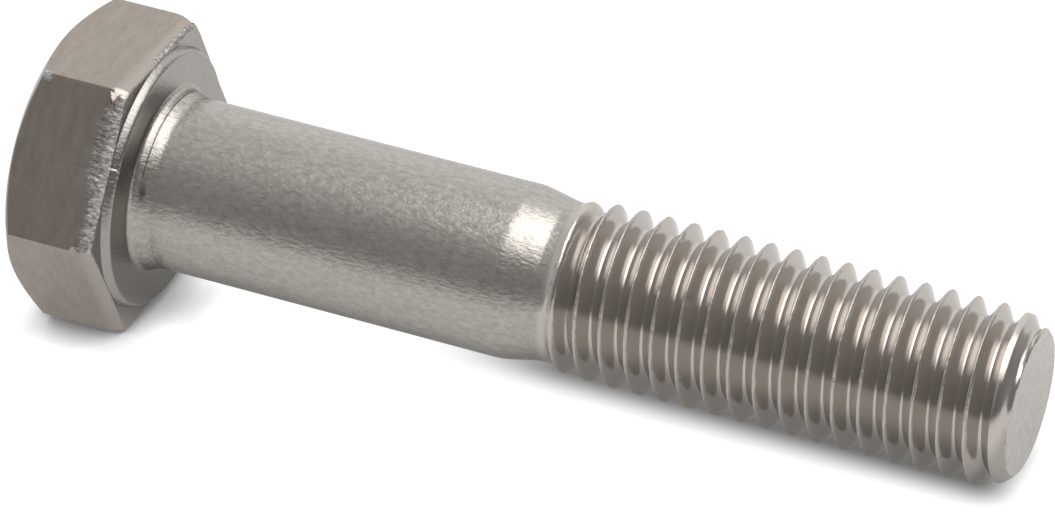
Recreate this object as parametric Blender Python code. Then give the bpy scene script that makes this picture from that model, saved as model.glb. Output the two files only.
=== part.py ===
"""Hex bolt M12 x 60: a cold-headed hexagon head, a plain shank and a rolled right-hand thread.

The bolt is one piece of stainless steel. Its axis is +X, from the head to the point, and it lies
on one flat of the head, so that another flat faces up (+Z). The origin is the centre of the
head's flat outer face.
"""

import math

import bmesh
import bpy

MM = 0.001

# Head, in millimetres
HEAD_HEIGHT = 7.5
ACROSS_FLATS = 18.8
ACROSS_CORNERS = 21.7
TOP_CHAMFER_DIAMETER = 17.78
TOP_CHAMFER_ANGLE = math.radians(30.0)
WASHER_FACE_HEIGHT = 0.5
ROLL_LENGTH = 1.1
ROLL_DROP = 0.38
WASHER_FACE_DIAMETER = 16.9
WASHER_ROOT_DIAMETER = 17.74
WASHER_RIM_HEIGHT = 0.25
WASHER_RIM_WIDTH = 0.3
WASHER_ROOT_SINK = 0.1
WASHER_ROOT_TAPER = 0.2
FILLET_DIAMETER = 12.8
FILLET_STEP_DIAMETER = 12.06
FILLET_STEP_LENGTH = 0.47
FILLET_LENGTH = 1.5
FILLET_TAPER_POWER = 1.7

# Shank and thread, in millimetres
LENGTH = 60.0
SHANK_DIAMETER = 11.6
NECK_START = 25.3
NECK_END = 28.0
NECK_DIAMETER = 10.6
NECK_TAPER_POWER = 1.2
PITCH = 1.75
CREST_DIAMETER = 11.64
ROOT_DIAMETER = 9.52
CREST_WIDTH = 0.2
HALF_THREAD_ANGLE = math.radians(30.0)
RUN_IN_TURNS = 2.5
POINT_DIAMETER = 9.3
POINT_RIM = 0.2
POINT_RIM_SLOPE = math.radians(45.0)
POINT_SLOPE = math.radians(26.0)
LAST_CREST_SETBACK = 1.67

# Facets
STEM_SIDES = 48
BLANK_SIDES = 96
PROFILE_STEPS = 4
EMBED_DEPTH = 2.0
BLANK_MARGIN = 1.0
SHARP_EDGE = math.radians(28.0)

BEARING_X = HEAD_HEIGHT
CORNER_X = HEAD_HEIGHT - WASHER_FACE_HEIGHT
ROLL_X = CORNER_X - ROLL_LENGTH
POINT_X = HEAD_HEIGHT + LENGTH
THREAD_START_X = BEARING_X + NECK_END


def clear_scene():
    """Remove whatever objects the file holds."""
    for thing in list(bpy.data.objects):
        bpy.data.objects.remove(thing, do_unlink=True)


def add_object(name, mesh_builder):
    """Put a bmesh, measured in millimetres, into the scene as an object in metres."""
    mesh_builder.normal_update()
    bmesh.ops.scale(mesh_builder, vec=(MM, MM, MM), verts=mesh_builder.verts)
    mesh = bpy.data.meshes.new(name)
    mesh_builder.to_mesh(mesh)
    mesh_builder.free()
    thing = bpy.data.objects.new(name, mesh)
    bpy.context.scene.collection.objects.link(thing)
    return thing


def ring_point(x, radius, angle):
    """A point at a distance along the axis, its angle turning from +Y towards +Z."""
    return (x, radius * math.cos(angle), radius * math.sin(angle))


def turned_body(name, profile, sides):
    """A closed solid of revolution about X, from (x, radius) pairs that run along +X."""
    bm = bmesh.new()
    rings = []
    for x, radius in profile:
        ring = [bm.verts.new(ring_point(x, radius, math.tau * i / sides)) for i in range(sides)]
        rings.append(ring)
    for low, high in zip(rings, rings[1:]):
        for i in range(sides):
            j = (i + 1) % sides
            bm.faces.new((low[i], low[j], high[j], high[i]))
    bm.faces.new(rings[0][::-1])
    bm.faces.new(rings[-1])
    return add_object(name, bm)


def hexagon_prism(name):
    """The head before chamfering: six flats, two of them level, rolled over towards the stem."""
    corner_radius = ACROSS_FLATS / math.sqrt(3.0)
    rolled_radius = corner_radius - ROLL_DROP * 2.0 / math.sqrt(3.0)
    bm = bmesh.new()
    angles = [math.tau * i / 6 for i in range(6)]
    rings = []
    for x, radius in ((0.0, corner_radius), (ROLL_X, corner_radius), (CORNER_X, rolled_radius)):
        rings.append([bm.verts.new(ring_point(x, radius, angle)) for angle in angles])
    for low, high in zip(rings, rings[1:]):
        for i in range(6):
            j = (i + 1) % 6
            bm.faces.new((low[i], low[j], high[j], high[i]))
    bm.faces.new(rings[0][::-1])
    bm.faces.new(rings[-1])
    return add_object(name, bm)


def head_blank(name):
    """The turned envelope that chamfers the hexagon's outer face and blunts its corners."""
    top_radius = TOP_CHAMFER_DIAMETER / 2
    corner_radius = ACROSS_CORNERS / 2
    chamfer_depth = (corner_radius - top_radius) * math.tan(TOP_CHAMFER_ANGLE)
    lead_radius = top_radius - BLANK_MARGIN / math.tan(TOP_CHAMFER_ANGLE)
    profile = [
        (-BLANK_MARGIN, lead_radius),
        (chamfer_depth, corner_radius),
        (CORNER_X + BLANK_MARGIN, corner_radius),
    ]
    return turned_body(name, profile, BLANK_SIDES)


def fillet_profile(steps=PROFILE_STEPS):
    """The fillet under the head: a small round, a faint step, then a taper onto the shank."""
    step_radius = FILLET_STEP_DIAMETER / 2
    width = FILLET_DIAMETER / 2 - step_radius
    points = []
    for i in range(steps + 1):
        turn = math.pi / 2 * i / steps
        x = BEARING_X + FILLET_STEP_LENGTH * (1.0 - math.cos(turn))
        radius = step_radius + width * (1.0 - math.sin(turn))
        points.append((x, radius))
    drop = step_radius - SHANK_DIAMETER / 2
    for i in range(1, steps + 1):
        share = i / steps
        x = BEARING_X + FILLET_STEP_LENGTH + (FILLET_LENGTH - FILLET_STEP_LENGTH) * share
        points.append((x, SHANK_DIAMETER / 2 + drop * (1.0 - share) ** FILLET_TAPER_POWER))
    return points


def neck_profile(steps=PROFILE_STEPS):
    """The drop from the shank to the narrower neck that the thread is rolled on."""
    start_x = BEARING_X + NECK_START
    shank_radius = SHANK_DIAMETER / 2
    drop = shank_radius - NECK_DIAMETER / 2
    points = []
    for i in range(steps + 1):
        share = i / steps
        x = start_x + (NECK_END - NECK_START) * share
        radius = shank_radius - drop * share ** NECK_TAPER_POWER
        points.append((x, radius))
    return points


def stem_profile():
    """The turned part of the stem, from inside the head to the start of the thread."""
    washer_radius = WASHER_FACE_DIAMETER / 2
    root_radius = WASHER_ROOT_DIAMETER / 2
    return [
        (CORNER_X - EMBED_DEPTH, root_radius - WASHER_ROOT_TAPER),
        (CORNER_X - WASHER_ROOT_SINK, root_radius),
        (BEARING_X - WASHER_RIM_HEIGHT, washer_radius + WASHER_RIM_WIDTH),
        (BEARING_X, washer_radius),
        *fillet_profile(),
        *neck_profile(),
    ]


def thread_rows():
    """The four corners of the thread's section, as shares of one pitch with their radii."""
    crest = CREST_WIDTH / PITCH
    depth = (CREST_DIAMETER - ROOT_DIAMETER) / 2
    flank = depth * math.tan(HALF_THREAD_ANGLE) / PITCH
    return [
        (-crest / 2, CREST_DIAMETER / 2),
        (crest / 2, CREST_DIAMETER / 2),
        (crest / 2 + flank, ROOT_DIAMETER / 2),
        (1.0 - crest / 2 - flank, ROOT_DIAMETER / 2),
    ]


def thread_radius(x, full_radius):
    """The thread's radius at x: it grows out of the neck and is cut by the point's chamfer."""
    run_in = RUN_IN_TURNS * PITCH
    grown = min(max((x - THREAD_START_X) / run_in, 0.0), 1.0)
    grown = math.sin(grown * math.pi / 2)
    neck_radius = NECK_DIAMETER / 2
    radius = neck_radius + (full_radius - neck_radius) * grown
    end_radius = POINT_DIAMETER / 2
    rim_radius = end_radius + (POINT_X - x) * math.tan(POINT_RIM_SLOPE)
    point_radius = end_radius + POINT_RIM + (POINT_X - x) * math.tan(POINT_SLOPE)
    return min(radius, rim_radius, point_radius)


def stem(name):
    """Shank, neck and right-hand thread in one closed skin.

    The thread's rows follow the helix. Where a row would leave the threaded length it runs along
    the end ring, so that the skin starts and ends on a plain circle.
    """
    bm = bmesh.new()
    placed = {}

    def vertex(column, x, radius):
        column %= STEM_SIDES
        key = (column, round(x, 6), round(radius, 6))
        if key not in placed:
            angle = math.tau * column / STEM_SIDES
            placed[key] = bm.verts.new(ring_point(x, radius, angle))
        return placed[key]

    def skin(low, high):
        """Join two rows, given as functions of the column, leaving out faces with no area."""
        for i in range(STEM_SIDES):
            corners = [low(i), low(i + 1), high(i + 1), high(i)]
            unique = [v for n, v in enumerate(corners) if v is not corners[n - 1]]
            if len(unique) > 2:
                bm.faces.new(unique)

    def ring(x, radius):
        return lambda column: vertex(column, x, radius)

    def helix(start_x, full_radius):
        def at(column):
            x = start_x + PITCH * column / STEM_SIDES
            x = min(max(x, THREAD_START_X), POINT_X)
            return vertex(column, x, thread_radius(x, full_radius))
        return at

    profile = stem_profile()
    rows = [ring(x, radius) for x, radius in profile]
    turns = int((POINT_X - THREAD_START_X) / PITCH) + 3
    last_crest_x = POINT_X - LAST_CREST_SETBACK
    for turn in range(-turns, 2):
        for share, radius in thread_rows():
            rows.append(helix(last_crest_x + (turn + share) * PITCH, radius))
    for low, high in zip(rows, rows[1:]):
        skin(low, high)
    first = [rows[0](i) for i in range(STEM_SIDES)]
    last = [rows[-1](i) for i in range(STEM_SIDES)]
    bm.faces.new(first[::-1])
    bm.faces.new(last)
    return add_object(name, bm)


def boolean(target, cutter, operation):
    """Combine a helper into the target and keep the helper out of the model."""
    modifier = target.modifiers.new(operation.lower(), "BOOLEAN")
    modifier.operation = operation
    modifier.solver = "EXACT"
    modifier.object = cutter
    cutter.hide_render = True
    cutter.display_type = "WIRE"


def stainless_steel():
    """Plain, pickled stainless steel."""
    material = bpy.data.materials.new("stainless_steel")
    material.use_nodes = True
    shader = material.node_tree.nodes["Principled BSDF"]
    shader.inputs["Base Color"].default_value = (0.50, 0.47, 0.43, 1.0)
    shader.inputs["Metallic"].default_value = 1.0
    shader.inputs["Roughness"].default_value = 0.35
    return material


def fuse(thing):
    """Work out the object's booleans, and shade its round surfaces smooth."""
    worked_out = thing.evaluated_get(bpy.context.evaluated_depsgraph_get())
    mesh = bpy.data.meshes.new_from_object(worked_out)
    thing.modifiers.clear()
    thing.data = mesh
    mesh.shade_smooth()
    mesh.set_sharp_from_angle(angle=SHARP_EDGE)


def hex_bolt():
    """The whole bolt: the chamfered hexagon with the stem grown out of it."""
    bolt = hexagon_prism("hex_bolt")
    boolean(bolt, head_blank("head_blank"), "INTERSECT")
    boolean(bolt, stem("stem"), "UNION")
    bolt.data.materials.append(stainless_steel())
    fuse(bolt)
    return bolt


clear_scene()
hex_bolt()
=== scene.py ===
"""Looks of the M12 hex bolt: one finely modelled steel piece that stands for the CAD bolt."""

import math

import bpy
import numpy as np
from mathutils import Matrix, Vector


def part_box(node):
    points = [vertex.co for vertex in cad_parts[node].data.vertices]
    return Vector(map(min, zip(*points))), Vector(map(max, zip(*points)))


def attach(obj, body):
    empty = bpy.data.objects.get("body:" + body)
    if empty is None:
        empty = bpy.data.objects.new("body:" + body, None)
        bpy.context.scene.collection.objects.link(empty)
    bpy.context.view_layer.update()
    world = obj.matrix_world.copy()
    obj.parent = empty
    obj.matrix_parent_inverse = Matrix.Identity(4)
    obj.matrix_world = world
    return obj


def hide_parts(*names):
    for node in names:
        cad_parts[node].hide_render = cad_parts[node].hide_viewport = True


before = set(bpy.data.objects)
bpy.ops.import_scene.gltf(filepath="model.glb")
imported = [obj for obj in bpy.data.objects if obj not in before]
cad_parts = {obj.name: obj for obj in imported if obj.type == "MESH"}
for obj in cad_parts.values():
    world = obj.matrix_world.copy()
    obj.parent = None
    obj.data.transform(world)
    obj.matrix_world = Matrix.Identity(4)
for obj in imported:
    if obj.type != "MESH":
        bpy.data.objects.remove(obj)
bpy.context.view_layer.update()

MM = 0.001
NODE_LOW, NODE_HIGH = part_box("hex_bolt")

# Sizes in millimetres. x runs along the axis from the head's outer face, and angles turn from +Y
# towards +Z.
TOTAL = (NODE_HIGH.x - NODE_LOW.x) / MM
FLAT = 9.4                      # from the axis to a wrench flat
# the worn corners' distance from the axis, by direction in degrees
CORNER_TRIM = {0: 10.74, 60: 10.72, 120: 10.84, 180: 10.84, 240: 10.72, 300: 10.76}
HEAD = 7.5                      # where the washer face lies
EDGE_X = 6.95                   # where the flats end
ROLL_X = 5.9                    # where the flats start to roll over
TOP_RADIUS = 8.89               # the outer face's flat circle
TOP_SLOPE = math.tan(math.radians(30.0))
WASHER_ROOT = 8.87
FILLET_OUT = 6.40
GROOVE_X = 7.97                 # the fillet's faint step
GROOVE = 6.03
FILLET_END = 9.0
SHANK = 5.80
NECK_X = 33.0                   # where the shank starts to narrow
THREAD_X = 35.6                 # where the thread starts
NECK = 5.30
PITCH = 1.75
CREST = 5.82
DEPTH = 1.07
FLANK_SLOPE = math.tan(math.radians(30.0))
POINT = 4.65                    # the end face
CAP = 5.56                      # the last crest, worn lower than the others
CAP_BACK = 1.45
LAST_CREST_X = 65.83

# The surface is a net of rings round the axis. The stem has a third of the head's columns.
HEAD_COLUMNS = 576
STEM_COLUMNS = 192
HEAD_ANGLE = np.arange(HEAD_COLUMNS) * math.tau / HEAD_COLUMNS
STEM_ANGLE = np.arange(STEM_COLUMNS) * math.tau / STEM_COLUMNS

# One seed for each random pattern.
EDGE_SEED, EDGE_FINE_SEED, CELL_SEED, GRAIN_SEED = 7, 8, 9, 10
LUMP_SEED, BITE_SEED, CREST_SEED, CREST_FINE_SEED = 12, 14, 15, 16
NICK_SEED, NICK_FINE_SEED, PATCH_SEED = 27, 28, 29
NOISE_ROWS = 512


# ---------------------------------------------------------------- helpers

def smooth_min(a, b, width):
    """The lower of a and b, blended over a band of the given width."""
    share = np.clip(0.5 + 0.5 * (b - a) / width, 0.0, 1.0)
    return b * (1 - share) + a * share - width * share * (1 - share)


def smooth_step(low, high, value):
    """0 below low, 1 above high, and smooth between."""
    share = np.clip((value - low) / (high - low), 0.0, 1.0)
    return share * share * (3 - 2 * share)


def spot(*offsets):
    """A soft spot: 1 where every offset is 0, and nearly 0 where one of them passes 2."""
    return np.exp(-sum(offset ** 2 for offset in offsets))


def apart(angle, middle):
    """The angle between two directions, never more than half a turn."""
    return np.abs((angle - middle + math.pi) % math.tau - math.pi)


def noise(u, v, cells_u, seed):
    """Smooth random values from -1 to 1 on a plane. u repeats every cells_u, v every NOISE_ROWS."""
    table = np.random.default_rng(seed).uniform(-1, 1, (cells_u, NOISE_ROWS))
    iu, iv = np.floor(u).astype(int), np.floor(v).astype(int)
    fu, fv = u - iu, v - iv
    fu, fv = fu * fu * (3 - 2 * fu), fv * fv * (3 - 2 * fv)
    a, b = iu % cells_u, (iu + 1) % cells_u
    c, d = iv % NOISE_ROWS, (iv + 1) % NOISE_ROWS
    low = table[a, c] * (1 - fu) + table[b, c] * fu
    high = table[a, d] * (1 - fu) + table[b, d] * fu
    return low * (1 - fv) + high * fv


class Skin:
    """Collects rings of points round the X axis and the faces between them."""

    def __init__(self):
        self.points = []
        self.faces = []
        self.count = 0

    def add(self, points):
        ids = np.arange(self.count, self.count + len(points))
        self.points.append(points)
        self.count += len(points)
        return ids

    def ring(self, x, radius, angle):
        """A ring with one point at each angle; x and radius are one value or one for each point."""
        x = np.broadcast_to(np.asarray(x, float), len(angle))
        radius = np.broadcast_to(np.asarray(radius, float), len(angle))
        return self.add(np.stack([x, radius * np.cos(angle), radius * np.sin(angle)], 1))

    def quads(self, a, b, c, d):
        self.faces.append(np.stack([a, b, c, d], -1).reshape(-1, 4))

    def triangles(self, a, b, c):
        """Triangles are kept as four corners, of which the last is -1."""
        self.quads(a, b, c, np.full(len(a), -1))

    def join(self, low, high):
        self.quads(low, np.roll(low, -1), np.roll(high, -1), high)

    def thin_out(self, many, few):
        """Joins a ring to one with a third as many points."""
        b0, b1, b2, b3 = many[0::3], many[1::3], many[2::3], np.roll(many[0::3], -1)
        s0, s1 = few, np.roll(few, -1)
        self.triangles(b0, b1, s0)
        self.triangles(b1, s1, s0)
        self.triangles(b1, b2, s1)
        self.triangles(b2, b3, s1)


# ---------------------------------------------------------------- head

SIXTH = math.radians(60)
HALF_FLAT = math.radians(30)
FLAT_ANGLES = [math.radians(30 + 60 * k) for k in range(6)]
TEAR_BY_FLAT = [0.5, 0.12, 1.0, 0.12, 0.6, 0.8]
TEAR_FADE = math.radians(28.5), math.radians(30.5)
WORN_CORNER = math.radians(120)
SOFT_CORNER, SOFT_WIDTH = math.radians(60), math.radians(9)
CORNER_WIDTH = math.radians(20)

# The torn edge reaches this much further over the front flat, round this direction.
TORN_BULGE = 0.45
BULGE_ANGLE = math.radians(140)
BULGE_FADE = math.radians(8), math.radians(26)

# Dents along the corners: depths in millimetres, cells in a millimetre, half widths as angles.
NICK_DEPTH, NICK_CELLS, NICK_LEVEL = 0.22, 1.9, 0.25
FINE_NICK_DEPTH, FINE_NICK_CELLS, FINE_NICK_LEVEL = 0.16, 5.3, 0.3
NICK_WIDTH = math.radians(1.7)
CORNER_STEP, FINE_CORNER_STEP = 7.3, 3.1
PATCH_DEPTH, PATCH_CELLS = 0.11, 6.0
PATCH_WIDTH, PATCH_LIMIT = math.radians(2.6), math.radians(5)
PATCH_FADE_IN, PATCH_FADE_OUT = (0.8, 1.2), (1.7, 2.3)
PATCH_CELLS_PER_RADIAN, PATCH_REPEAT = 97, 610

# The flats roll over towards the washer face: how deep they fall, and how raggedly it starts.
BEVEL, SOFT_BEVEL, SOFT_START = 0.38, 0.16, 0.6
BEVEL_POWER, TORN_POWER, SOFT_POWER = 1.55, 0.3, 0.3
RAGGED, RAGGED_FINE = 0.22, 0.14
CELL_HEIGHT, GRAIN_HEIGHT = 0.022, 0.030
CELL_ROWS, GRAIN_ROWS = 0.40, 1.3
TEXTURE_X, TEXTURE_STEP = 5.0, 0.28
ROUGH_FROM = 0.6
AROUND = 60                     # noise cells round the head for one cell in about a millimetre

# The burr that the trimming die leaves: strong on the top flat, weak on the lower front flat.
BURR_ANGLE, BURR_FADE = math.radians(72), (math.radians(9), math.radians(26))
LOW_BURR_ANGLE, LOW_BURR_WIDTH, LOW_BURR = math.radians(225), math.radians(20), 0.25
BURR_BASE, BURR_LUMP, BURR_BITE, BURR_LEAST = 0.03, 0.07, 0.03, 0.08
BURR_LEVEL = 0.3

# The facet knocked off the worn corner: the plane it lies in and the triangle it fills.
FACET_NORMAL = np.array([0.2525, -0.527, 0.8115])
FACET_START = np.array([5.62, 10.80 * math.cos(WORN_CORNER), 10.82 * math.sin(WORN_CORNER)])
FACET_DEPTH = 0.34
FACET_MIDDLE, FACET_REACH, FACET_LENGTH = 0.60, 0.42, 0.95
FACET_FROM, FACET_LEAST_RADIUS = 0.02, 10.0

# Where the head's rings lie. The faces meet in narrow rounds of a few hundredths of a millimetre.
FACE_RADII = 4.0, 7.5
FACE_ROUND_X, FACE_ROUND, CHAMFER_X = 0.005, 0.08, 0.02
SIDE_ROUND, SIDE_INSET, BAND_END = 0.08, 0.004, 0.02
LIP_STEPS = (0.03, 0.03), (0.05, 0.08)
LIP_ROW, LIP_SHARE, LIP_LEAN = 0.5, 0.8, 0.3
CHAMFER_SHARES = 0.06, 0.3, 0.6, 0.85, 0.96
FLAT_SHARES = 0.0, 0.03, 0.06, 0.09, 0.12, 0.16, 0.2, 0.4, 0.7
BAND_X, BAND_RINGS = 5.35, 23
BURR_FROM, BURR_TO = 0.36, 0.20
UNDERSIDE_SHARES = 0.2, 0.45, 0.7, 1.0
UNDERSIDE_INSET, UNDERSIDE_FALL = 0.10, 0.05
INSET_LEAST, INSET_GROWTH, ROOT_INSET = 0.09, 0.01, 0.11
WASHER_STEPS = [(7.00, 0.03), (7.15, 0.09), (7.30, 0.16), (7.42, 0.25), (7.48, 0.33),
                (HEAD, 0.45), (HEAD, 0.7)]
WASHER_LEAN, WASHER_LEAN_ANGLE = 0.10, math.radians(155)


def hexagon():
    """Distance from the axis to the hexagon's sides, its corners cut a little by wear."""
    facing = np.max([np.cos(HEAD_ANGLE - angle) for angle in FLAT_ANGLES], axis=0)
    trim = np.full(HEAD_COLUMNS, max(CORNER_TRIM.values()))
    for degrees, radius in CORNER_TRIM.items():
        trim = np.where(apart(HEAD_ANGLE, math.radians(degrees)) < CORNER_WIDTH, radius, trim)
    return np.minimum(FLAT / facing, trim)


def head_noise(cells, row, seed, start=0.0):
    """Noise round the head that meets itself without a seam."""
    arc = HEAD_ANGLE / math.tau * AROUND
    return noise(arc * cells + start, 0 * arc + row, round(AROUND * cells), seed)


def corner_nicks(x):
    """Depth of the dents along the hexagon's corners at distance x."""
    near = np.min([apart(HEAD_ANGLE, math.radians(60 * k)) for k in range(6)], axis=0)
    place = np.round(HEAD_ANGLE / SIXTH) * CORNER_STEP
    dents = noise(place, 0 * place + x * NICK_CELLS, AROUND, NICK_SEED) - NICK_LEVEL
    fine = noise(place + FINE_CORNER_STEP, 0 * place + x * FINE_NICK_CELLS, AROUND, NICK_FINE_SEED)
    fine = fine - FINE_NICK_LEVEL
    depth = NICK_DEPTH * np.clip(dents, 0, None) + FINE_NICK_DEPTH * np.clip(fine, 0, None)
    worn = smooth_step(*PATCH_FADE_IN, x) * (1 - smooth_step(*PATCH_FADE_OUT, x))
    worn = worn * (apart(HEAD_ANGLE, WORN_CORNER) < PATCH_LIMIT)
    turn = HEAD_ANGLE * PATCH_CELLS_PER_RADIAN
    grain = noise(turn, 0 * turn + x * PATCH_CELLS, PATCH_REPEAT, PATCH_SEED)
    patch = worn * (PATCH_DEPTH + PATCH_DEPTH * grain)
    nicks = depth * (1 - smooth_step(0.0, NICK_WIDTH, near))
    return nicks + patch * (1 - smooth_step(0.0, PATCH_WIDTH, near))


def tear_amount():
    """How strongly the trimming die has torn each flat's edge on the washer face's side."""
    amount = np.zeros(HEAD_COLUMNS)
    for angle, tear in zip(FLAT_ANGLES, TEAR_BY_FLAT):
        amount += tear * (1 - smooth_step(*TEAR_FADE, apart(HEAD_ANGLE, angle)))
    return amount


def torn_bulge(angle):
    """Where the torn edge reaches further over the front flat, from 0 to 1."""
    return 1 - smooth_step(*BULGE_FADE, apart(angle, BULGE_ANGLE))


def head_side(x, hexagon_radius, tear):
    """The head's side at distance x: flat, then rolling over towards the underside."""
    ragged = head_noise(2, 0.5, EDGE_SEED) * RAGGED + head_noise(7, 3.5, EDGE_FINE_SEED) * RAGGED_FINE
    soft = 1 - smooth_step(0.0, SOFT_WIDTH, apart(HEAD_ANGLE, SOFT_CORNER))
    start = ROLL_X - ragged * tear - SOFT_START * soft - TORN_BULGE * torn_bulge(HEAD_ANGLE)
    share = np.clip((x - start) / (EDGE_X - start), 0.0, 1.0)
    power = BEVEL_POWER - TORN_POWER * np.minimum(tear, 1) + SOFT_POWER * soft
    bevel = (BEVEL + SOFT_BEVEL * soft) * share ** power
    along = (x - TEXTURE_X) / TEXTURE_STEP
    cells = head_noise(4.6, along * CELL_ROWS, CELL_SEED, 0.3)
    fine = head_noise(9.0, along * GRAIN_ROWS, GRAIN_SEED, 0.7)
    rough = (CELL_HEIGHT * cells + GRAIN_HEIGHT * fine) * tear * smooth_step(0.0, ROUGH_FROM, share)
    return hexagon_radius - corner_nicks(x) - bevel + rough


def burr(place):
    """Height of the trimming burr along the flats' edges; each place has its own lumps."""
    lumps = head_noise(5.0, 1.5 + place * 2.9, LUMP_SEED)
    bites = head_noise(9.0, 7.5 + place * 4.3, BITE_SEED)
    strong = 1 - smooth_step(*BURR_FADE, apart(HEAD_ANGLE, BURR_ANGLE))
    strong = strong + LOW_BURR * (1 - smooth_step(0.0, LOW_BURR_WIDTH, apart(HEAD_ANGLE, LOW_BURR_ANGLE)))
    height = BURR_BASE + BURR_LUMP * np.clip(lumps + BURR_LEVEL, 0, None) + BURR_BITE * bites
    return height * (BURR_LEAST + strong)


def knock_off_facet(points):
    """Moves the points at the worn corner's torn end into the plane of a small triangular facet."""
    offset = points - FACET_START
    height = np.clip(offset @ FACET_NORMAL, -FACET_DEPTH, FACET_DEPTH)
    along = offset @ np.array([0.0, -math.sin(WORN_CORNER), math.cos(WORN_CORNER)])
    reach = FACET_REACH * (1 - along / FACET_LENGTH)
    near = (np.abs(offset[:, 0] - FACET_MIDDLE) < reach) & (along > FACET_FROM)
    near = near & (np.hypot(points[:, 1], points[:, 2]) > FACET_LEAST_RADIUS)
    return points - np.outer(height * near, FACET_NORMAL)


def head_rings(skin):
    """The head from its outer face over its sides to the washer face."""
    radius = hexagon()
    tear = tear_amount()
    rings = []

    def add(x, r):
        rings.append(skin.ring(x, r, HEAD_ANGLE))

    for r in FACE_RADII:
        add(0.0, r)
    add(FACE_ROUND_X, TOP_RADIUS - FACE_ROUND)
    rise = (radius - TOP_RADIUS) * TOP_SLOPE
    for share in CHAMFER_SHARES:
        add(CHAMFER_X + rise * share, TOP_RADIUS + (radius - TOP_RADIUS) * share)
    low = rise + SIDE_ROUND
    for share in FLAT_SHARES:
        add(low + (BAND_X - low) * share, radius - SIDE_INSET)
    for x in np.linspace(BAND_X, EDGE_X - BAND_END, BAND_RINGS):
        ridge = burr(x) * smooth_step(EDGE_X - BURR_FROM, EDGE_X - BURR_TO, x)
        add(x, head_side(x, radius, tear) + ridge)
    edge = head_side(EDGE_X, radius, tear)
    lip = burr(LIP_ROW) * LIP_SHARE
    for ahead, inward in LIP_STEPS:
        add(EDGE_X + ahead + lip * LIP_LEAN, edge - inward)
    root = WASHER_ROOT + WASHER_LEAN * np.cos(HEAD_ANGLE - WASHER_LEAN_ANGLE)
    for share in UNDERSIDE_SHARES:
        inner = edge - UNDERSIDE_INSET + (root - edge + UNDERSIDE_INSET) * share
        inner = np.minimum(inner, edge - INSET_LEAST - INSET_GROWTH * share)
        add(EDGE_X + UNDERSIDE_FALL * (1 - share), inner)
    for x, inward in WASHER_STEPS:
        add(x, np.minimum(root, edge - ROOT_INSET) - inward)
    return rings


# ---------------------------------------------------------------- stem

# The fillet: a quarter round down to the step's groove, then a long tail to the shank.
WASHER_RADII = 7.8, 7.1, FILLET_OUT + 0.12
FILLET_TURN, FILLET_STEPS = math.radians(78), 10
GROOVE_FLOOR = (0.05, 0.014), (0.12, 0.020), (0.19, 0.012)
TAIL_DROP, TAIL_POWER, TAIL_STEPS = 0.01, 1.7, 12

# The shank's plain part, and the neck: a straight taper with a round at its start, then the blank.
SHANK_SHARES, SHANK_CLEAR = (0.02, 0.3, 0.65, 1.0), 0.5
NECK_ROUND, NECK_CLEAR, NECK_RINGS = 0.22, 0.3, 18
TAPER_CLEAR = 0.15
NECK_END = (0.2, 0.015), (0.1, 0.0), (0.0, 0.0)

# On the bolt's lower side the fillet has no step.
PLAIN_X, PLAIN_RISE, PLAIN_POWER = 7.85, 0.255, 1.6
PLAIN_FROM, PLAIN_TO = (148, 176), (335, 355)

# The small dark dent beside the fillet. It leans a little round the stem.
SMUDGE_X, SMUDGE_ANGLE, SMUDGE_DEPTH = 8.25, math.radians(158), 0.07
SMUDGE_LENGTH, SMUDGE_WIDTH = 0.20, 0.55
SMUDGE_LEAN, SMUDGE_LEAN_X = 0.06, 8.2

# The thread's section, and the places along it, from a crest, where the net has a row.
CREST_HALF, CREST_ROUND, ROOT_ROUND = 0.055, 0.12, 0.46
THREAD_SECTION = np.array([-0.875, -0.76, -0.65, -0.54, -0.40, -0.20, -0.10, -0.045,
                           0.0, 0.045, 0.10, 0.20, 0.40, 0.54, 0.65, 0.76])

# Dents in the crests, and one nick.
CREST_CELLS, CREST_REPEAT = 90, 2250
CREST_FINE, CREST_FINE_REPEAT = 3.1, 6975
CREST_DENT, CREST_DENT_LEVEL, CREST_FINE_DENT = 0.07, 0.1, 0.05
CREST_FADE = 0.06, 0.20
CREST_NICK_X, CREST_NICK_ANGLE = 45.66, math.radians(136.4)
CREST_NICK_DEPTH, CREST_NICK_WIDTH = 0.20, 0.17

# How the thread starts, and how the point's chamfer and the worn last crest end it.
RUN_IN, RUN_IN_LENGTH, ROOT_FROM = 0.2, 1.1, 1.0
FIRST_CUT, CUT_FROM, CUT_TO = 0.2, 0.5, 2.3
POINT_SLOPE, CAP_RISE, CAP_FALL = 1.3, 0.35, 0.42
END_ROUND, CUT_ROUND = 0.06, 0.08
END_RADII = 4.55, 4.2, 3.4, 2.4, 1.2
ON_RING = 1e-6

SHARP_ANGLE = math.radians(27)


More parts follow.
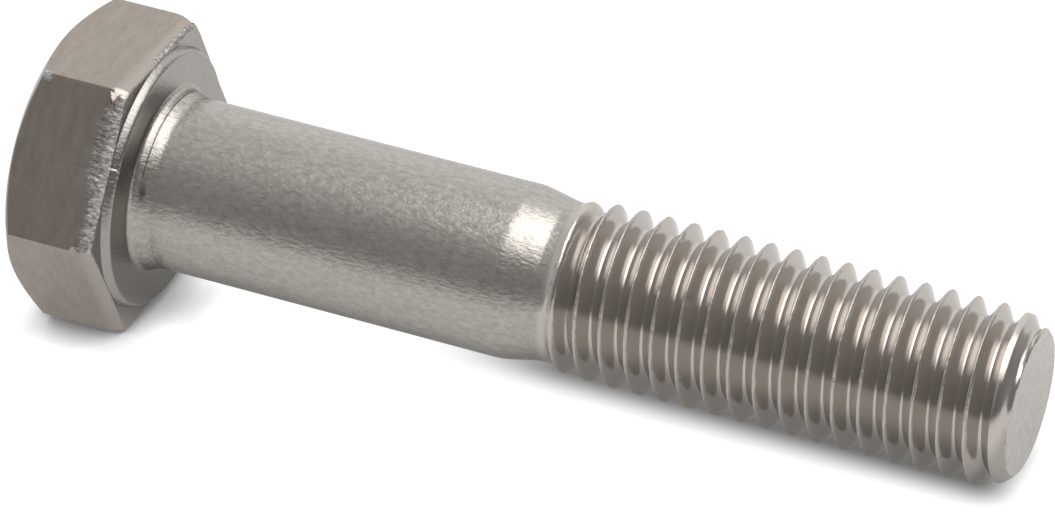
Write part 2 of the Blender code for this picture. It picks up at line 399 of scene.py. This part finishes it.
def stem_profile():
    """(x, radius) from the washer face over the fillet and the shank to the neck's end."""
    points = [(HEAD, radius) for radius in WASHER_RADII]
    for i in range(FILLET_STEPS + 1):
        turn = FILLET_TURN * i / FILLET_STEPS
        x = HEAD + (GROOVE_X - HEAD) * (1 - math.cos(turn)) / (1 - math.cos(FILLET_TURN))
        r = FILLET_OUT - (FILLET_OUT - GROOVE) * math.sin(turn) / math.sin(FILLET_TURN)
        points.append((x, r))
    for ahead, drop in GROOVE_FLOOR:
        points.append((GROOVE_X + ahead, GROOVE - drop))
    tail = points[-1][0]
    for i in range(1, TAIL_STEPS + 1):
        share = i / TAIL_STEPS
        rise = (GROOVE - TAIL_DROP - SHANK) * (1 - share) ** TAIL_POWER
        points.append((tail + (FILLET_END - tail) * share, SHANK + rise))
    for share in SHANK_SHARES:
        points.append((FILLET_END + (NECK_X - SHANK_CLEAR - FILLET_END) * share, SHANK))
    slope = (SHANK - NECK) / (THREAD_X - TAPER_CLEAR - NECK_X)
    for x in np.linspace(NECK_X - NECK_CLEAR, THREAD_X - NECK_CLEAR, NECK_RINGS):
        drop = slope * 0.5 * (x - NECK_X + math.hypot(x - NECK_X, NECK_ROUND))
        points.append((x, SHANK - drop))
    for before, rise in NECK_END:
        points.append((THREAD_X - before, NECK + rise))
    return points


def smudge_amount(x, angle):
    """The small dark dent beside the fillet, from 0 to 1."""
    around = (angle - SMUDGE_ANGLE - SMUDGE_LEAN * (x - SMUDGE_LEAN_X)) * SHANK / SMUDGE_WIDTH
    return spot(around, (x - SMUDGE_X) / SMUDGE_LENGTH)


def stem_radius(x, radius):
    """The stem's radius at each column, from the profile's radius at x."""
    ring = np.full(STEM_COLUMNS, float(radius))
    if PLAIN_X < x < FILLET_END:
        degrees = np.degrees(STEM_ANGLE)
        plain = smooth_step(*PLAIN_FROM, degrees) * (1 - smooth_step(*PLAIN_TO, degrees))
        smooth = SHANK + PLAIN_RISE * (1 - (x - PLAIN_X) / (FILLET_END - PLAIN_X)) ** PLAIN_POWER
        ring = ring * (1 - plain) + smooth * plain
    return ring - SMUDGE_DEPTH * smudge_amount(x, STEM_ANGLE)


def from_crest(u):
    """Distance along the axis to the nearest crest, for u counted from any crest."""
    return np.abs((u + PITCH / 2) % PITCH - PITCH / 2)


def thread_drop(u):
    """How far the thread's surface lies under its crest, at u counted from a crest."""
    flank = (from_crest(u) - CREST_HALF) / FLANK_SLOPE
    below = -smooth_min(-flank, 0.0 * u, CREST_ROUND)
    return smooth_min(below, DEPTH + 0.0 * u, ROOT_ROUND)


def crest_wear(x, u, angle):
    """Small dents left on the crests by the rolling dies and by handling."""
    turn = np.floor((u + PITCH / 2) / PITCH)
    around = (angle / math.tau + turn) * CREST_CELLS
    dents = noise(around, 0 * around + 0.5, CREST_REPEAT, CREST_SEED)
    fine = noise(around * CREST_FINE, 0 * around + 2.5, CREST_FINE_REPEAT, CREST_FINE_SEED)
    depth = CREST_DENT * np.clip(dents - CREST_DENT_LEVEL, 0, None)
    depth = depth + CREST_FINE_DENT * np.clip(fine, 0, None)
    aside = (angle - CREST_NICK_ANGLE) * CREST / CREST_NICK_WIDTH
    nick = CREST_NICK_DEPTH * spot(aside, (x - CREST_NICK_X) / CREST_NICK_WIDTH)
    return depth * (1 - smooth_step(*CREST_FADE, from_crest(u))) + nick


def thread_radius(x, u, angle):
    """The rolled thread: it grows out of the neck, and the point's chamfer cuts it off."""
    run_in = np.clip(x - THREAD_X - RUN_IN, 0, None) / RUN_IN_LENGTH
    crest = NECK + (CREST - NECK) * (1 - np.exp(-run_in))
    cut = FIRST_CUT + (1 - FIRST_CUT) * smooth_step(THREAD_X + CUT_FROM, THREAD_X + CUT_TO, x)
    radius = crest - thread_drop(u) * cut - crest_wear(x, u, angle)
    radius = np.where(x < THREAD_X + ROOT_FROM, np.maximum(radius, NECK), radius)
    edge = POINT + (TOTAL - x) * POINT_SLOPE
    back = TOTAL - x - CAP_BACK
    cap = CAP + np.where(back > 0, CAP_RISE * back, -CAP_FALL * back ** 2)
    return smooth_min(radius, smooth_min(edge, cap, END_ROUND), CUT_ROUND)


def thread_skin(skin, start, end):
    """Covers the thread with rows that follow the helix from the start ring to the end ring."""
    per_turn = len(THREAD_SECTION)
    turns = int((TOTAL - THREAD_X) / PITCH) + 3
    rows = np.concatenate([LAST_CREST_X + turn * PITCH + THREAD_SECTION for turn in range(-turns, 4)])
    rows = rows[int(np.argmax(rows + PITCH > THREAD_X)) - 1:]
    used = int(np.argmax(rows >= TOTAL)) + 1
    rows = rows[: used + per_turn + 1]

    # every row climbs by one pitch in a turn; its points beyond the two rings stand on them instead
    x = rows[:, None] + PITCH * np.arange(STEM_COLUMNS)[None, :] / STEM_COLUMNS
    u = np.broadcast_to((rows - LAST_CREST_X)[:, None], x.shape)
    inside = (x > THREAD_X + ON_RING) & (x < TOTAL - ON_RING)
    radius = thread_radius(x, u, STEM_ANGLE[None, :])
    angle = np.broadcast_to(STEM_ANGLE, x.shape)
    points = np.stack([x, radius * np.cos(angle), radius * np.sin(angle)], -1)[inside]
    fresh = np.cumsum(inside.ravel()).reshape(inside.shape) - 1 + skin.count
    ids = np.where(x <= THREAD_X + ON_RING, start[None, :], end[None, :])
    ids = np.where(inside, fresh, ids)
    skin.add(points)

    # the last column meets the first one a turn further along
    wrap = np.concatenate([ids[per_turn:, :1], np.full((per_turn, 1), end[0])], 0)
    beside = np.concatenate([ids[:, 1:], wrap], 1)
    corners = [ids[:used], beside[:used], beside[1:used + 1], ids[1:used + 1]]
    quads = np.stack(corners, -1).reshape(-1, 4)
    same = np.stack([quads[:, k] == quads[:, (k + 1) % 4] for k in range(4)], 1)
    skin.faces.append(quads[same.sum(1) == 0])
    once = same.sum(1) == 1
    first = same[once].argmax(1)[:, None]
    corners = np.take_along_axis(quads[once], (first + np.arange(1, 4)) % 4, 1)
    skin.triangles(*corners.T)


def bolt_skin():
    """The bolt's whole surface as points and faces, closed from the head to the point."""
    skin = Skin()
    middle = skin.add(np.zeros((1, 3)))
    rings = head_rings(skin)
    skin.triangles(np.full(HEAD_COLUMNS, middle[0]), np.roll(rings[0], -1), rings[0])
    for low, high in zip(rings, rings[1:]):
        skin.join(low, high)
    stem = [skin.ring(x, stem_radius(x, r), STEM_ANGLE) for x, r in stem_profile()]
    skin.thin_out(rings[-1], stem[0])
    for low, high in zip(stem, stem[1:]):
        skin.join(low, high)
    ring = skin.ring(TOTAL, POINT, STEM_ANGLE)
    thread_skin(skin, stem[-1], ring)
    for r in END_RADII:
        inner = skin.ring(TOTAL, r, STEM_ANGLE)
        skin.join(ring, inner)
        ring = inner
    tip = skin.add(np.array([[TOTAL, 0.0, 0.0]]))
    skin.triangles(ring, np.roll(ring, -1), np.full(STEM_COLUMNS, tip[0]))
    points = knock_off_facet(np.concatenate(skin.points))
    points[:, 1] = np.clip(points[:, 1], NODE_LOW.y / MM, NODE_HIGH.y / MM)
    points[:, 2] = np.clip(points[:, 2], -FLAT, FLAT)
    return points, np.concatenate(skin.faces)


def make_bolt():
    """The bolt as a mesh object in metres, with masks for its differently worked surfaces."""
    points, faces = bolt_skin()
    mesh = bpy.data.meshes.new("hex_bolt_steel")
    quads = faces[:, 3] >= 0
    loops = [faces[quads].ravel(), faces[~quads][:, :3].ravel()]
    sizes = np.concatenate([np.full(quads.sum(), 4), np.full((~quads).sum(), 3)])
    mesh.vertices.add(len(points))
    mesh.vertices.foreach_set("co", (points * MM).astype(np.float32).ravel())
    mesh.loops.add(int(sizes.sum()))
    mesh.loops.foreach_set("vertex_index", np.concatenate(loops).astype(np.int32))
    mesh.polygons.add(len(sizes))
    starts = np.concatenate([[0], np.cumsum(sizes)[:-1]]).astype(np.int32)
    mesh.polygons.foreach_set("loop_start", starts)
    mesh.update(calc_edges=True)
    mesh.validate()
    add_masks(mesh, points)
    mesh.shade_smooth()
    mesh.set_sharp_from_angle(angle=SHARP_ANGLE)
    bolt = bpy.data.objects.new("hex_bolt_body", mesh)
    bpy.context.scene.collection.objects.link(bolt)
    return bolt


# Where the marks on the steel lie: their middles and half widths, in millimetres and as angles.
FACET_MARK = (6.15, 0.42), (math.radians(121.5), math.radians(3.0))
WORN_MARK = (1.45, 0.5), (math.radians(120.5), math.radians(1.9))
BURR_MARK_ANGLE, BURR_MARK_WIDTH = math.radians(76), math.radians(20)
# The lip's fade places a painted highlight on the torn edge next to the washer face.
TORN_FADE, LIP_HIGHLIGHT_FADE, BURR_MARK_FADE = (-0.35, 0.75), (6.1, 6.85), (6.45, 6.75)
CREST_MARK_FADE = 0.05, 0.24
ROLLED_FADE, THREAD_FADE = (-0.1, 0.8), (0.2, 0.7)
FACET_CLEAN, BURR_TEAR, SMUDGE_SHARE = 0.9, 0.7, 0.8
SMUDGE_RADIUS, WORN_RADIUS = 7.0, 9.0
SIDE_START, THREAD_CLEAR, POINT_CLEAR = 0.3, 1.0, 1.2
TOUCH, WASHER_TOUCH = 0.01, 0.02


def mark(x, angle, place):
    """A soft mark at a place on the surface, from 0 to 1."""
    (middle_x, length), (middle_angle, width) = place
    return spot((x - middle_x) / length, (angle - middle_angle) / width)


def add_masks(mesh, points):
    """Point attributes that tell the steel material where each surface lies."""
    x = points[:, 0]
    radius = np.hypot(points[:, 1], points[:, 2])
    angle = np.arctan2(points[:, 2], points[:, 1])
    side = (x > SIDE_START) & (x < EDGE_X - TOUCH) & (radius > WASHER_ROOT)
    torn = np.zeros(len(points))
    for middle, tear in zip(FLAT_ANGLES, TEAR_BY_FLAT):
        torn += tear * (apart(angle, middle) < HALF_FLAT)
    start = ROLL_X - TORN_BULGE * torn_bulge(angle)
    torn_mask = smooth_step(start + TORN_FADE[0], start + TORN_FADE[1], x) * side * torn
    burred = smooth_step(*BURR_MARK_FADE, x) * side * (np.abs(angle - BURR_MARK_ANGLE) < BURR_MARK_WIDTH)
    off_crest = from_crest(x - LAST_CREST_X - PITCH * (angle % math.tau) / math.tau)
    threaded = (x > THREAD_X + THREAD_CLEAR) * (x < TOTAL - POINT_CLEAR)
    # The washer face: its mask carries a darker tint, painted shade between the head and the shank.
    washer = (x > EDGE_X - WASHER_TOUCH) & (x < HEAD + TOUCH) & (radius > FILLET_OUT)
    cut_end = (x > TOTAL - TOUCH) & (radius < POINT + TOUCH)
    rolled = smooth_step(ROLL_X + ROLLED_FADE[0], ROLL_X + ROLLED_FADE[1], x)
    thread = smooth_step(THREAD_X + THREAD_FADE[0], THREAD_X + THREAD_FADE[1], x)
    masks = {
        "crest": (1 - smooth_step(*CREST_MARK_FADE, off_crest)) * threaded,
        "head_flat": side.astype(float),
        "rolled": rolled * side * (1 - torn),
        "torn": torn_mask * (1 - FACET_CLEAN * mark(x, angle, FACET_MARK)) + BURR_TEAR * burred,
        "smudge": SMUDGE_SHARE * (smudge_amount(x, angle) * (radius < SMUDGE_RADIUS)),
        "worn": mark(x, angle, WORN_MARK) * (radius > WORN_RADIUS),
        "washer": washer.astype(float),
        # The torn edge's lip, where the steel gets a painted highlight.
        "torn_lip_highlight": smooth_step(*LIP_HIGHLIGHT_FADE, x) * side * torn,
        "thread": thread * (x < TOTAL - TOUCH),
        "cut_end": cut_end.astype(float),
    }
    for name, values in masks.items():
        attribute = mesh.attributes.new(name, "FLOAT", "POINT")
        attribute.data.foreach_set("value", values.astype(np.float32))


# ---------------------------------------------------------------- steel

class Graph:
    """A short way to write a node tree."""

    def __init__(self, tree):
        self.tree = tree

    def put(self, node, key, value):
        """Links a socket to the node's input, or sets the input to a plain value."""
        if isinstance(value, bpy.types.NodeSocket):
            self.tree.links.new(value, node.inputs[key])
        else:
            node.inputs[key].default_value = value

    def node(self, kind, inputs=None, **settings):
        node = self.tree.nodes.new(kind)
        for key, value in settings.items():
            setattr(node, key, value)
        for key, value in (inputs or {}).items():
            self.put(node, key, value)
        return node

    def math(self, operation, a, b):
        return self.node("ShaderNodeMath", {0: a, 1: b}, operation=operation).outputs[0]

    def product(self, first, *others):
        for other in others:
            first = self.math("MULTIPLY", first, other)
        return first

    def mix(self, share, a, b):
        return self.node("ShaderNodeMix", {"Factor": share, "A": a, "B": b}, data_type="FLOAT").outputs[0]

    def mix_colour(self, share, a, b):
        node = self.node("ShaderNodeMix", data_type="RGBA")
        for index, value in ((0, share), (6, a), (7, b)):
            self.put(node, index, value)
        return node.outputs[2]

    def ramp(self, value, ends):
        """0 at the first end, 1 at the second, and smooth between."""
        node = self.node("ShaderNodeMapRange", {"Value": value, "From Min": ends[0], "From Max": ends[1]})
        node.interpolation_type = "SMOOTHSTEP"
        return node.outputs[0]

    def noise(self, place, stretch, scale, detail, rough):
        stretched = self.node("ShaderNodeVectorMath", {0: place, 1: stretch}, operation="MULTIPLY")
        inputs = {"Vector": stretched.outputs[0], "Scale": scale, "Detail": detail, "Roughness": rough}
        return self.node("ShaderNodeTexNoise", inputs).outputs["Fac"]

    def mask(self, name):
        return self.node("ShaderNodeAttribute", attribute_name=name).outputs["Fac"]

    def bump(self, strength, distance, height, normal=None):
        inputs = {"Strength": strength, "Distance": distance, "Height": height}
        if normal:
            inputs["Normal"] = normal
        return self.node("ShaderNodeBump", inputs).outputs[0]


# Random patterns: stretch along x, y and z, cells in a metre, detail and roughness. A pattern of
# 2,600 cells in a metre has grains of four tenths of a millimetre.
PATTERNS = {
    "peel": ((0.5, 1.0, 1.0), 4800.0, 4.0, 0.62),
    "stain": ((0.6, 1.0, 1.0), 2600.0, 6.0, 0.78),
    "rolled_lines": ((1.0, 0.10, 0.10), 11000.0, 2.0, 0.6),
    "cloud": ((1.0, 1.0, 1.0), 420.0, 3.0, 0.55),
    "brushed": ((0.06, 1.0, 1.0), 4600.0, 3.0, 0.6),
    "dull": ((1.0, 0.25, 0.25), 1700.0, 5.0, 0.72),
    "speckle": ((0.32, 1.0, 1.0), 6000.0, 4.0, 0.7),
    "streaks": ((0.30, 1.0, 1.0), 4200.0, 4.0, 0.7),
}

# The steel's colours: each pair is mixed by a pattern, from its darker to its paler tone.
SHANK_TINTS = (0.302, 0.281, 0.257, 1), (0.422, 0.400, 0.366, 1)
FLAT_TINTS = (0.272, 0.233, 0.205, 1), (0.328, 0.288, 0.256, 1)
ROLL_TINTS = (0.345, 0.31, 0.28, 1), (0.385, 0.35, 0.315, 1)
# Each tear pair runs from the torn band's own tone to a paler one at its lip and at the worn patch: a
# painted highlight at the lip, real wear at the patch.
DARK_TEAR_WEAR_AND_HIGHLIGHT_TINTS = (0.155, 0.135, 0.125, 1), (0.27, 0.25, 0.235, 1)
PALE_TEAR_WEAR_AND_HIGHLIGHT_TINTS = (0.40, 0.375, 0.36, 1), (0.68, 0.66, 0.645, 1)
THREAD_TINTS = (0.428, 0.391, 0.359, 1), (0.478, 0.441, 0.408, 1)
CUT_TINTS = (0.56, 0.54, 0.51, 1), (0.69, 0.665, 0.63, 1)
# The washer face's darker tint is painted shade between the head and the shank.
WASHER_SHADE_TINT = (0.315, 0.297, 0.275, 1)
SMUDGE_TINT = (0.07, 0.06, 0.055, 1)

# Where each pattern turns from the darker to the paler tone.
STAIN_ENDS = 0.30, 0.70
CUT_STAIN_ENDS = 0.32, 0.68
SPECKLE_ENDS = 0.36, 0.64

# Where the torn look starts, and how far streaks shift that border.
TORN_ENDS, TORN_STREAKS = (0.35, 0.62), 1.5

# Roughness of the gloss, as pairs mixed by a pattern or as one value.
PEEL_ROUGH, FLAT_ROUGH = (0.13, 0.25), (0.24, 0.31)
TORN_ROUGH, THREAD_ROUGH = (0.25, 0.5), (0.12, 0.20)
ROLLED_ROUGH, CUT_ROUGH = 0.30, 0.55
METALLIC, EDGE_COLOUR = 0.93, (0.8, 0.8, 0.8, 1)

# Bumps: depth in metres, and their strength off and on the surface they belong to.
PIT_DEPTH, PIT_STRENGTH = 0.00004, (0.06, 1.0)
TEAR_DEPTH, TEAR_STRENGTH, CREST_STRENGTH = 0.00006, 0.9, 0.45
ROLL_DEPTH, ROLL_STRENGTH = 0.00002, (0.0, 0.12)
LINE_DEPTH, LINE_STRENGTH = 0.00002, (0.03, 0.07)


def steel():
    """Pickled and tumbled stainless steel, worked differently on each part of the bolt."""
    material = bpy.data.materials.new("stainless_steel")
    material.use_nodes = True
    tree = material.node_tree
    g = Graph(tree)
    shader = tree.nodes["Principled BSDF"]
    place = g.node("ShaderNodeTexCoord").outputs["Object"]
    grain = {name: g.noise(place, *settings) for name, settings in PATTERNS.items()}
    flat, rolled, thread, cut = (g.mask(name) for name in ("head_flat", "rolled", "thread", "cut_end"))

    # streaks break up the torn edge's border
    streaks = g.product(g.math("SUBTRACT", grain["streaks"], 0.5), TORN_STREAKS)
    torn = g.math("ADD", g.math("MAXIMUM", g.mask("torn"), g.mask("worn")), streaks)
    torn = g.ramp(torn, TORN_ENDS)

    # Paler towards the torn edge's lip, which is a painted highlight, and at the worn patch, which is
    # real wear.
    lip = g.math("MAXIMUM", g.mask("torn_lip_highlight"), g.mask("worn"))
    dark_tear_wear_and_highlight = g.mix_colour(lip, *DARK_TEAR_WEAR_AND_HIGHLIGHT_TINTS)
    pale_tear_wear_and_highlight = g.mix_colour(lip, *PALE_TEAR_WEAR_AND_HIGHLIGHT_TINTS)
    tint = g.mix_colour(g.ramp(grain["stain"], STAIN_ENDS), *SHANK_TINTS)
    # The washer face gets a darker tint: painted shade between the head and the shank.
    tint = g.mix_colour(g.mask("washer"), tint, WASHER_SHADE_TINT)
    tint = g.mix_colour(flat, tint, g.mix_colour(g.ramp(grain["dull"], STAIN_ENDS), *FLAT_TINTS))
    tint = g.mix_colour(rolled, tint, g.mix_colour(grain["cloud"], *ROLL_TINTS))
    tear_tint_and_highlight = g.mix_colour(g.ramp(grain["speckle"], SPECKLE_ENDS), dark_tear_wear_and_highlight, pale_tear_wear_and_highlight)
    tint = g.mix_colour(torn, tint, tear_tint_and_highlight)
    tint = g.mix_colour(thread, tint, g.mix_colour(grain["cloud"], *THREAD_TINTS))
    tint = g.mix_colour(cut, tint, g.mix_colour(g.ramp(grain["stain"], CUT_STAIN_ENDS), *CUT_TINTS))
    tint = g.mix_colour(g.mask("smudge"), tint, SMUDGE_TINT)
    tree.links.new(tint, shader.inputs["Base Color"])

    rough = g.mix(grain["peel"], *PEEL_ROUGH)
    rough = g.mix(flat, rough, g.mix(grain["brushed"], *FLAT_ROUGH))
    rough = g.mix(rolled, rough, ROLLED_ROUGH)
    rough = g.mix(torn, rough, g.mix(grain["speckle"], *TORN_ROUGH))
    rough = g.mix(thread, rough, g.mix(grain["cloud"], *THREAD_ROUGH))
    rough = g.mix(cut, rough, CUT_ROUGH)
    tree.links.new(rough, shader.inputs["Roughness"])
    shader.inputs["Metallic"].default_value = METALLIC
    shader.inputs["Specular Tint"].default_value = EDGE_COLOUR

    calm = g.math("SUBTRACT", 1.0, g.math("MAXIMUM", flat, thread))
    ragged = g.math("MAXIMUM", g.product(torn, TEAR_STRENGTH), g.product(g.mask("crest"), CREST_STRENGTH))
    pits = g.bump(g.mix(calm, *PIT_STRENGTH), PIT_DEPTH, grain["peel"])
    tears = g.bump(ragged, TEAR_DEPTH, grain["speckle"], pits)
    rolls = g.bump(g.mix(thread, *ROLL_STRENGTH), ROLL_DEPTH, grain["rolled_lines"], tears)
    lines = g.bump(g.mix(flat, *LINE_STRENGTH), LINE_DEPTH, grain["brushed"], rolls)
    tree.links.new(lines, shader.inputs["Normal"])
    return material


# ---------------------------------------------------------------- stage

# The bolt stays level in its own frame, and the table tilts up to its last crests.
REST_AHEAD = 0.5                # from the last crest to where the table meets the thread
REST_TILT = math.atan2(FLAT - CREST, LAST_CREST_X + REST_AHEAD - ROLL_X)
TABLE_TURN = Matrix.Rotation(-REST_TILT, 4, "Y")
TABLE_HALF = 1.5
TABLE_SHIFT = Vector((0.03, 0.0, -0.00005))

# Places on the table in metres: along the bolt towards its point, and across it. They set the painted
# shadows that the camera sees, the painted shade under the bolt that the reflections see, and the
# dimmer near side.
CONTACT_REACH, CONTACT_ENDS = 0.004, (0.30, 0.70)
CONTACT_ALONG = -0.0275, -0.0235
SHADE_SLANT = 0.0895
SHADE_NEAR, SHADE_FAR = (-0.0022, 0.0015), (0.0070, 0.0020)
SHADE_START, SHADE_STOP = (-0.012, 0.001), (0.0332, 0.0290)
SHADE_DARKEST = 0.12
NEAR_SIDE = -0.095, -0.022
# Where the painted shade under the bolt lies, as the reflections see it.
UNDER_SHIFT, UNDER_SHIFT_ALONG = 0.0050, (-0.006, 0.010)
UNDER_NEAR, UNDER_FAR = (-0.0065, 0.0), (0.018, 0.008)
# The table's glow on its near side, in the open, and under the bolt, where the drop is painted shade;
# then its whiteness on the near side, in the open, and to rays straight from the camera.
GLOW_NEAR_SIDE, GLOW_OPEN, GLOW_UNDER = 0.08, 0.60, 0.26
WHITE_NEAR_SIDE, WHITE_OPEN, WHITE_SEEN = 0.30, 0.40, 0.20

# The tent's light by direction: y grows away from the near side, x towards the bolt's point.
TENT_FRONT, TENT_LIGHT = (-0.93, 0.0), (0.38, 0.86)
TENT_BACK, TENT_BACK_LIGHT = (0.25, 0.9), 0.45
TENT_PAST_POINT, TENT_PAST_POINT_SHARE = (0.22, 0.60), 0.36

# Three soft boxes of one width and growing depth lie over one another.
BOX_X, BOX_Y, BOX_Z, BOX_GAP = 0.240, 0.02, 0.5, 0.001
BOX_WIDTH, BOX_DEPTHS, BOX_RADIANCE = 0.57, (0.36, 0.54, 0.72), 0.95

CAMERA_PLACE = Vector((0.149877, -0.303985, 0.207656))
CAMERA_FORWARD = Vector((-0.30279, 0.78848, -0.53536))
CAMERA_UP = Vector((-0.24022, 0.48046, 0.84348))
CAMERA_SENSOR, CAMERA_LENS = 36.0, 203.99


def make_table():
    """A white table that the bolt lies on: its head's flat and its last crests both touch it."""
    half = TABLE_HALF
    mesh = bpy.data.meshes.new("floor")
    corners = [(-half, -half, 0), (half, -half, 0), (half, half, 0), (-half, half, 0)]
    mesh.from_pydata(corners, [], [(0, 1, 2, 3)])
    table = bpy.data.objects.new("floor", mesh)
    bpy.context.scene.collection.objects.link(table)
    touch = Vector((ROLL_X * MM, 0.0, -FLAT * MM))
    table.matrix_world = Matrix.Translation(touch) @ TABLE_TURN @ Matrix.Translation(TABLE_SHIFT)
    mesh.materials.append(table_white())


def table_white():
    """A matt white table.

    Rays straight from the camera see it glow up to white, with two painted shadows: one close to
    the head, darker where the bolt hides more of what lies near, and one along the thread that lies
    at a fixed place on the table. All other rays, such as the steel's reflections, see a white table
    that glows dimmer in front, with painted shade under the bolt.
    """
    material = bpy.data.materials.new("white_table")
    material.use_nodes = True
    shader = material.node_tree.nodes["Principled BSDF"]
    shader.inputs["Roughness"].default_value = 0.9
    shader.inputs["Specular IOR Level"].default_value = 0.0
    shader.inputs["Emission Color"].default_value = (1, 1, 1, 1)
    g = Graph(material.node_tree)
    place = g.node("ShaderNodeTexCoord").outputs["Object"]
    parts = g.node("ShaderNodeSeparateXYZ", {0: place})
    along, across = parts.outputs[0], parts.outputs[1]
    direct = g.node("ShaderNodeLightPath").outputs["Is Camera Ray"]

    # Painted shadow close to the head: the camera sees the table darker where the bolt hides more of what
    # lies near.
    near = g.node("ShaderNodeAmbientOcclusion", {"Distance": CONTACT_REACH}, samples=4)
    clear = g.math("MAXIMUM", g.ramp(near.outputs["AO"], CONTACT_ENDS), g.ramp(along, CONTACT_ALONG))
    # Painted shadow along the thread, at a fixed place on the table.
    slanted = g.math("ADD", across, g.product(along, SHADE_SLANT))
    shade = g.product(g.ramp(slanted, SHADE_NEAR), g.ramp(across, SHADE_FAR),
                      g.ramp(along, SHADE_START), g.ramp(along, SHADE_STOP))
    clear = g.product(clear, g.math("SUBTRACT", 1.0, shade))
    seen = g.mix(clear, SHADE_DARKEST, 1.0)

    front = g.ramp(across, NEAR_SIDE)
    # Painted shade under the bolt: there the table glows less in the steel's reflections.
    nearer = g.math("ADD", across, g.product(g.ramp(along, UNDER_SHIFT_ALONG), UNDER_SHIFT))
    under = g.product(g.ramp(nearer, UNDER_NEAR), g.ramp(across, UNDER_FAR))
    glow = g.mix(under, g.mix(front, GLOW_NEAR_SIDE, GLOW_OPEN), GLOW_UNDER)
    glow = g.mix(direct, glow, seen)
    white = g.mix(direct, g.mix(front, WHITE_NEAR_SIDE, WHITE_OPEN), WHITE_SEEN)
    colour = g.node("ShaderNodeCombineXYZ", {0: white, 1: white, 2: white}).outputs[0]
    material.node_tree.links.new(colour, shader.inputs["Base Color"])
    material.node_tree.links.new(glow, shader.inputs["Emission Strength"])
    return material


def make_world():
    """A white studio tent, dimmer in front of the bolt and past its point."""
    world = bpy.data.worlds.new("studio")
    bpy.context.scene.world = world
    world.use_nodes = True
    tree = world.node_tree
    g = Graph(tree)
    background = tree.nodes["Background"]
    direction = g.node("ShaderNodeTexCoord").outputs["Generated"]
    parts = g.node("ShaderNodeSeparateXYZ", {0: direction})
    ends = {"Value": parts.outputs[1], "From Min": TENT_FRONT[0], "From Max": TENT_FRONT[1],
            "To Min": TENT_LIGHT[0], "To Max": TENT_LIGHT[1]}
    light = g.node("ShaderNodeMapRange", ends).outputs[0]
    light = g.math("ADD", light, g.product(g.ramp(parts.outputs[1], TENT_BACK), TENT_BACK_LIGHT))
    past_point = g.mix(g.ramp(parts.outputs[0], TENT_PAST_POINT), 1.0, TENT_PAST_POINT_SHARE)
    tree.links.new(g.product(light, past_point), background.inputs["Strength"])
    background.inputs["Color"].default_value = (1, 1, 1, 1)


def make_lights():
    """One wide soft box overhead, past the bolt's point; it fades towards its front and back."""
    for index, depth in enumerate(BOX_DEPTHS):
        name = "soft_box_%d" % index
        lamp = bpy.data.lights.new(name, "AREA")
        lamp.shape = "RECTANGLE"
        lamp.size, lamp.size_y = BOX_WIDTH, depth
        lamp.energy = BOX_RADIANCE * math.pi * BOX_WIDTH * depth
        thing = bpy.data.objects.new(name, lamp)
        bpy.context.scene.collection.objects.link(thing)
        thing.location = (BOX_X, BOX_Y, BOX_Z + BOX_GAP * index)


def make_camera():
    """The camera: a long lens, a little above the bolt and past its point."""
    camera = bpy.data.cameras.new("camera")
    camera.sensor_width = CAMERA_SENSOR
    camera.lens = CAMERA_LENS
    thing = bpy.data.objects.new("camera", camera)
    bpy.context.scene.collection.objects.link(thing)
    forward = CAMERA_FORWARD.normalized()
    right = forward.cross(CAMERA_UP).normalized()
    up = right.cross(forward)
    turn = Matrix((right, up, -forward)).transposed().to_4x4()
    thing.matrix_world = Matrix.Translation(CAMERA_PLACE) @ turn
    bpy.context.scene.camera = thing


def main():
    bpy.context.scene.view_settings.view_transform = "Standard"
    bolt = make_bolt()
    bolt.data.materials.append(steel())
    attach(bolt, "root")
    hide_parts("hex_bolt")
    make_table()
    make_world()
    make_lights()
    make_camera()


main()
